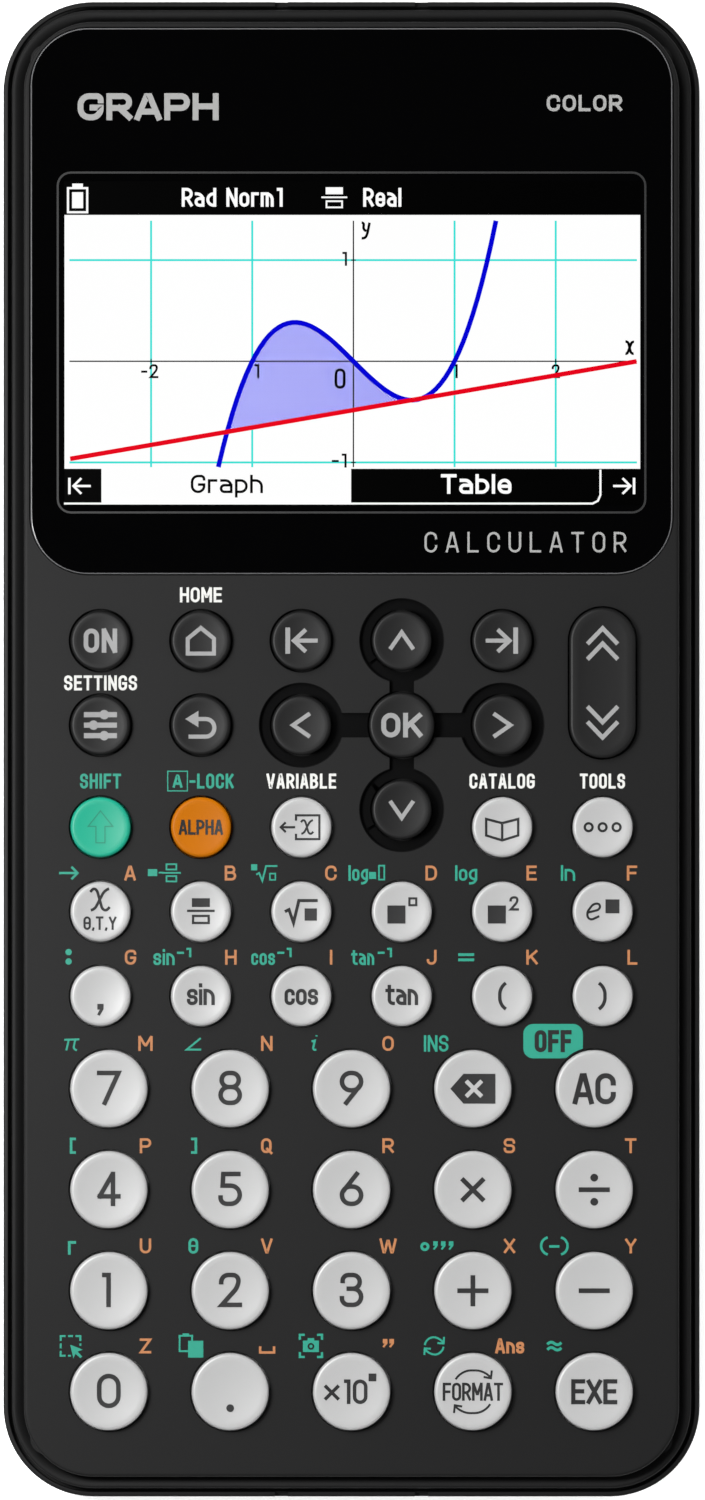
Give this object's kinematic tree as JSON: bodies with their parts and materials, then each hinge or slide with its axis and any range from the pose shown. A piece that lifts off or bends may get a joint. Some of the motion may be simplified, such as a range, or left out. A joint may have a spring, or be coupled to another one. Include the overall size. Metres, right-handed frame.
{
  "type": "graphing calculator",
  "caption": "Handheld graphing calculator: two-part case, glossy display window, round push keys, page rocker, battery door.",
  "frame": {"origin": "on the surface that the back rests on, under the middle of the case", "axes": "+X to the user's right, +Y towards the display end, +Z out of the face"},
  "size_m": [0.085, 0.1826, 0.0194],
  "materials": {
    "shell": "fine matte texture",
    "window": "black gloss",
    "display": "bright display glass",
    "board": "solder mask",
    "mat": "matte silicone",
    "battery_jacket": "satin jacket",
    "dark_keys": "satin",
    "light_keys": "satin",
    "green_key": "satin",
    "orange_key": "satin",
    "legend_print": "pad-printed ink",
    "steel": "zinc plated"
  },
  "bodies": {
    "case": {"rear_shell": "shell", "front_shell": "shell", "display_window": "window", "display_module": "display", "main_board": "board", "keypad_mat": "mat", "battery_cell_1": "battery_jacket", "battery_cell_2": "battery_jacket", "battery_cell_3": "battery_jacket", "battery_cell_4": "battery_jacket"},
    "battery_door": {"battery_door": "shell"},
    "key_on": {"key_on": "dark_keys"},
    "key_home": {"key_home": "dark_keys"},
    "key_tab_left": {"key_tab_left": "dark_keys"},
    "key_cursor_up": {"key_cursor_up": "dark_keys"},
    "key_tab_right": {"key_tab_right": "dark_keys"},
    "key_settings": {"key_settings": "dark_keys"},
    "key_back": {"key_back": "dark_keys"},
    "key_cursor_left": {"key_cursor_left": "dark_keys"},
    "key_ok": {"key_ok": "dark_keys"},
    "key_cursor_right": {"key_cursor_right": "dark_keys"},
    "key_shift": {"key_shift": "green_key"},
    "key_alpha": {"key_alpha": "orange_key"},
    "key_variable": {"key_variable": "light_keys"},
    "key_cursor_down": {"key_cursor_down": "dark_keys"},
    "key_catalog": {"key_catalog": "light_keys"},
    "key_tools": {"key_tools": "light_keys"},
    "key_x_theta_t": {"key_x_theta_t": "light_keys"},
    "key_fraction": {"key_fraction": "light_keys"},
    "key_square_root": {"key_square_root": "light_keys"},
    "key_power": {"key_power": "light_keys"},
    "key_square": {"key_square": "light_keys"},
    "key_exponential": {"key_exponential": "light_keys"},
    "key_comma": {"key_comma": "light_keys"},
    "key_sin": {"key_sin": "light_keys"},
    "key_cos": {"key_cos": "light_keys"},
    "key_tan": {"key_tan": "light_keys"},
    "key_bracket_open": {"key_bracket_open": "light_keys"},
    "key_bracket_close": {"key_bracket_close": "light_keys"},
    "key_7": {"key_7": "light_keys"},
    "key_8": {"key_8": "light_keys"},
    "key_9": {"key_9": "light_keys"},
    "key_delete": {"key_delete": "light_keys"},
    "key_all_clear": {"key_all_clear": "light_keys"},
    "key_4": {"key_4": "light_keys"},
    "key_5": {"key_5": "light_keys"},
    "key_6": {"key_6": "light_keys"},
    "key_multiply": {"key_multiply": "light_keys"},
    "key_divide": {"key_divide": "light_keys"},
    "key_1": {"key_1": "light_keys"},
    "key_2": {"key_2": "light_keys"},
    "key_3": {"key_3": "light_keys"},
    "key_add": {"key_add": "light_keys"},
    "key_subtract": {"key_subtract": "light_keys"},
    "key_0": {"key_0": "light_keys"},
    "key_decimal_point": {"key_decimal_point": "light_keys"},
    "key_times_ten_power": {"key_times_ten_power": "light_keys"},
    "key_format": {"key_format": "light_keys"},
    "key_execute": {"key_execute": "light_keys"},
    "page_rocker": {"page_rocker": "dark_keys"}
  },
  "joints": [
    {"name": "battery_door_hinge", "type": "hinge", "parent": "case", "child": "battery_door", "pos_m": [0, -0.06285, 0], "axis": [-1, 0, 0], "range_deg": [0, 70]},
    {"name": "key_on_press", "type": "slide", "parent": "case", "child": "key_on", "axis": [0, 0, -1], "range_m": [0, 0.0008], "stiffness_N_per_m": 900, "springref_m": -0.0003, "deforming": ["keypad_mat"]},
    {"name": "key_home_press", "type": "slide", "parent": "case", "child": "key_home", "axis": [0, 0, -1], "range_m": [0, 0.0008], "stiffness_N_per_m": 900, "springref_m": -0.0003, "deforming": ["keypad_mat"]},
    {"name": "key_tab_left_press", "type": "slide", "parent": "case", "child": "key_tab_left", "axis": [0, 0, -1], "range_m": [0, 0.0008], "stiffness_N_per_m": 900, "springref_m": -0.0003, "deforming": ["keypad_mat"]},
    {"name": "key_cursor_up_press", "type": "slide", "parent": "case", "child": "key_cursor_up", "axis": [0, 0, -1], "range_m": [0, 0.0008], "stiffness_N_per_m": 900, "springref_m": -0.0003, "deforming": ["keypad_mat"]},
    {"name": "key_tab_right_press", "type": "slide", "parent": "case", "child": "key_tab_right", "axis": [0, 0, -1], "range_m": [0, 0.0008], "stiffness_N_per_m": 900, "springref_m": -0.0003, "deforming": ["keypad_mat"]},
    {"name": "key_settings_press", "type": "slide", "parent": "case", "child": "key_settings", "axis": [0, 0, -1], "range_m": [0, 0.0008], "stiffness_N_per_m": 900, "springref_m": -0.0003, "deforming": ["keypad_mat"]},
    {"name": "key_back_press", "type": "slide", "parent": "case", "child": "key_back", "axis": [0, 0, -1], "range_m": [0, 0.0008], "stiffness_N_per_m": 900, "springref_m": -0.0003, "deforming": ["keypad_mat"]},
    {"name": "key_cursor_left_press", "type": "slide", "parent": "case", "child": "key_cursor_left", "axis": [0, 0, -1], "range_m": [0, 0.0008], "stiffness_N_per_m": 900, "springref_m": -0.0003, "deforming": ["keypad_mat"]},
    {"name": "key_ok_press", "type": "slide", "parent": "case", "child": "key_ok", "axis": [0, 0, -1], "range_m": [0, 0.0008], "stiffness_N_per_m": 900, "springref_m": -0.0003, "deforming": ["keypad_mat"]},
    {"name": "key_cursor_right_press", "type": "slide", "parent": "case", "child": "key_cursor_right", "axis": [0, 0, -1], "range_m": [0, 0.0008], "stiffness_N_per_m": 900, "springref_m": -0.0003, "deforming": ["keypad_mat"]},
    {"name": "key_shift_press", "type": "slide", "parent": "case", "child": "key_shift", "axis": [0, 0, -1], "range_m": [0, 0.0008], "stiffness_N_per_m": 900, "springref_m": -0.0003, "deforming": ["keypad_mat"]},
    {"name": "key_alpha_press", "type": "slide", "parent": "case", "child": "key_alpha", "axis": [0, 0, -1], "range_m": [0, 0.0008], "stiffness_N_per_m": 900, "springref_m": -0.0003, "deforming": ["keypad_mat"]},
    {"name": "key_variable_press", "type": "slide", "parent": "case", "child": "key_variable", "axis": [0, 0, -1], "range_m": [0, 0.0008], "stiffness_N_per_m": 900, "springref_m": -0.0003, "deforming": ["keypad_mat"]},
    {"name": "key_cursor_down_press", "type": "slide", "parent": "case", "child": "key_cursor_down", "axis": [0, 0, -1], "range_m": [0, 0.0008], "stiffness_N_per_m": 900, "springref_m": -0.0003, "deforming": ["keypad_mat"]},
    {"name": "key_catalog_press", "type": "slide", "parent": "case", "child": "key_catalog", "axis": [0, 0, -1], "range_m": [0, 0.0008], "stiffness_N_per_m": 900, "springref_m": -0.0003, "deforming": ["keypad_mat"]},
    {"name": "key_tools_press", "type": "slide", "parent": "case", "child": "key_tools", "axis": [0, 0, -1], "range_m": [0, 0.0008], "stiffness_N_per_m": 900, "springref_m": -0.0003, "deforming": ["keypad_mat"]},
    {"name": "key_x_theta_t_press", "type": "slide", "parent": "case", "child": "key_x_theta_t", "axis": [0, 0, -1], "range_m": [0, 0.0008], "stiffness_N_per_m": 900, "springref_m": -0.0003, "deforming": ["keypad_mat"]},
    {"name": "key_fraction_press", "type": "slide", "parent": "case", "child": "key_fraction", "axis": [0, 0, -1], "range_m": [0, 0.0008], "stiffness_N_per_m": 900, "springref_m": -0.0003, "deforming": ["keypad_mat"]},
    {"name": "key_square_root_press", "type": "slide", "parent": "case", "child": "key_square_root", "axis": [0, 0, -1], "range_m": [0, 0.0008], "stiffness_N_per_m": 900, "springref_m": -0.0003, "deforming": ["keypad_mat"]},
    {"name": "key_power_press", "type": "slide", "parent": "case", "child": "key_power", "axis": [0, 0, -1], "range_m": [0, 0.0008], "stiffness_N_per_m": 900, "springref_m": -0.0003, "deforming": ["keypad_mat"]},
    {"name": "key_square_press", "type": "slide", "parent": "case", "child": "key_square", "axis": [0, 0, -1], "range_m": [0, 0.0008], "stiffness_N_per_m": 900, "springref_m": -0.0003, "deforming": ["keypad_mat"]},
    {"name": "key_exponential_press", "type": "slide", "parent": "case", "child": "key_exponential", "axis": [0, 0, -1], "range_m": [0, 0.0008], "stiffness_N_per_m": 900, "springref_m": -0.0003, "deforming": ["keypad_mat"]},
    {"name": "key_comma_press", "type": "slide", "parent": "case", "child": "key_comma", "axis": [0, 0, -1], "range_m": [0, 0.0008], "stiffness_N_per_m": 900, "springref_m": -0.0003, "deforming": ["keypad_mat"]},
    {"name": "key_sin_press", "type": "slide", "parent": "case", "child": "key_sin", "axis": [0, 0, -1], "range_m": [0, 0.0008], "stiffness_N_per_m": 900, "springref_m": -0.0003, "deforming": ["keypad_mat"]},
    {"name": "key_cos_press", "type": "slide", "parent": "case", "child": "key_cos", "axis": [0, 0, -1], "range_m": [0, 0.0008], "stiffness_N_per_m": 900, "springref_m": -0.0003, "deforming": ["keypad_mat"]},
    {"name": "key_tan_press", "type": "slide", "parent": "case", "child": "key_tan", "axis": [0, 0, -1], "range_m": [0, 0.0008], "stiffness_N_per_m": 900, "springref_m": -0.0003, "deforming": ["keypad_mat"]},
    {"name": "key_bracket_open_press", "type": "slide", "parent": "case", "child": "key_bracket_open", "axis": [0, 0, -1], "range_m": [0, 0.0008], "stiffness_N_per_m": 900, "springref_m": -0.0003, "deforming": ["keypad_mat"]},
    {"name": "key_bracket_close_press", "type": "slide", "parent": "case", "child": "key_bracket_close", "axis": [0, 0, -1], "range_m": [0, 0.0008], "stiffness_N_per_m": 900, "springref_m": -0.0003, "deforming": ["keypad_mat"]},
    {"name": "key_7_press", "type": "slide", "parent": "case", "child": "key_7", "axis": [0, 0, -1], "range_m": [0, 0.0008], "stiffness_N_per_m": 900, "springref_m": -0.0003, "deforming": ["keypad_mat"]},
    {"name": "key_8_press", "type": "slide", "parent": "case", "child": "key_8", "axis": [0, 0, -1], "range_m": [0, 0.0008], "stiffness_N_per_m": 900, "springref_m": -0.0003, "deforming": ["keypad_mat"]},
    {"name": "key_9_press", "type": "slide", "parent": "case", "child": "key_9", "axis": [0, 0, -1], "range_m": [0, 0.0008], "stiffness_N_per_m": 900, "springref_m": -0.0003, "deforming": ["keypad_mat"]},
    {"name": "key_delete_press", "type": "slide", "parent": "case", "child": "key_delete", "axis": [0, 0, -1], "range_m": [0, 0.0008], "stiffness_N_per_m": 900, "springref_m": -0.0003, "deforming": ["keypad_mat"]},
    {"name": "key_all_clear_press", "type": "slide", "parent": "case", "child": "key_all_clear", "axis": [0, 0, -1], "range_m": [0, 0.0008], "stiffness_N_per_m": 900, "springref_m": -0.0003, "deforming": ["keypad_mat"]},
    {"name": "key_4_press", "type": "slide", "parent": "case", "child": "key_4", "axis": [0, 0, -1], "range_m": [0, 0.0008], "stiffness_N_per_m": 900, "springref_m": -0.0003, "deforming": ["keypad_mat"]},
    {"name": "key_5_press", "type": "slide", "parent": "case", "child": "key_5", "axis": [0, 0, -1], "range_m": [0, 0.0008], "stiffness_N_per_m": 900, "springref_m": -0.0003, "deforming": ["keypad_mat"]},
    {"name": "key_6_press", "type": "slide", "parent": "case", "child": "key_6", "axis": [0, 0, -1], "range_m": [0, 0.0008], "stiffness_N_per_m": 900, "springref_m": -0.0003, "deforming": ["keypad_mat"]},
    {"name": "key_multiply_press", "type": "slide", "parent": "case", "child": "key_multiply", "axis": [0, 0, -1], "range_m": [0, 0.0008], "stiffness_N_per_m": 900, "springref_m": -0.0003, "deforming": ["keypad_mat"]},
    {"name": "key_divide_press", "type": "slide", "parent": "case", "child": "key_divide", "axis": [0, 0, -1], "range_m": [0, 0.0008], "stiffness_N_per_m": 900, "springref_m": -0.0003, "deforming": ["keypad_mat"]},
    {"name": "key_1_press", "type": "slide", "parent": "case", "child": "key_1", "axis": [0, 0, -1], "range_m": [0, 0.0008], "stiffness_N_per_m": 900, "springref_m": -0.0003, "deforming": ["keypad_mat"]},
    {"name": "key_2_press", "type": "slide", "parent": "case", "child": "key_2", "axis": [0, 0, -1], "range_m": [0, 0.0008], "stiffness_N_per_m": 900, "springref_m": -0.0003, "deforming": ["keypad_mat"]},
    {"name": "key_3_press", "type": "slide", "parent": "case", "child": "key_3", "axis": [0, 0, -1], "range_m": [0, 0.0008], "stiffness_N_per_m": 900, "springref_m": -0.0003, "deforming": ["keypad_mat"]},
    {"name": "key_add_press", "type": "slide", "parent": "case", "child": "key_add", "axis": [0, 0, -1], "range_m": [0, 0.0008], "stiffness_N_per_m": 900, "springref_m": -0.0003, "deforming": ["keypad_mat"]},
    {"name": "key_subtract_press", "type": "slide", "parent": "case", "child": "key_subtract", "axis": [0, 0, -1], "range_m": [0, 0.0008], "stiffness_N_per_m": 900, "springref_m": -0.0003, "deforming": ["keypad_mat"]},
    {"name": "key_0_press", "type": "slide", "parent": "case", "child": "key_0", "axis": [0, 0, -1], "range_m": [0, 0.0008], "stiffness_N_per_m": 900, "springref_m": -0.0003, "deforming": ["keypad_mat"]},
    {"name": "key_decimal_point_press", "type": "slide", "parent": "case", "child": "key_decimal_point", "axis": [0, 0, -1], "range_m": [0, 0.0008], "stiffness_N_per_m": 900, "springref_m": -0.0003, "deforming": ["keypad_mat"]},
    {"name": "key_times_ten_power_press", "type": "slide", "parent": "case", "child": "key_times_ten_power", "axis": [0, 0, -1], "range_m": [0, 0.0008], "stiffness_N_per_m": 900, "springref_m": -0.0003, "deforming": ["keypad_mat"]},
    {"name": "key_format_press", "type": "slide", "parent": "case", "child": "key_format", "axis": [0, 0, -1], "range_m": [0, 0.0008], "stiffness_N_per_m": 900, "springref_m": -0.0003, "deforming": ["keypad_mat"]},
    {"name": "key_execute_press", "type": "slide", "parent": "case", "child": "key_execute", "axis": [0, 0, -1], "range_m": [0, 0.0008], "stiffness_N_per_m": 900, "springref_m": -0.0003, "deforming": ["keypad_mat"]},
    {"name": "page_rocker_tilt", "type": "hinge", "parent": "case", "child": "page_rocker", "pos_m": [0.0306, 0.0081, 0.01745], "axis": [1, 0, 0], "range_deg": [-4.5, 4.5], "stiffness_Nm_per_rad": 0.06, "deforming": ["keypad_mat"]}
  ]
}
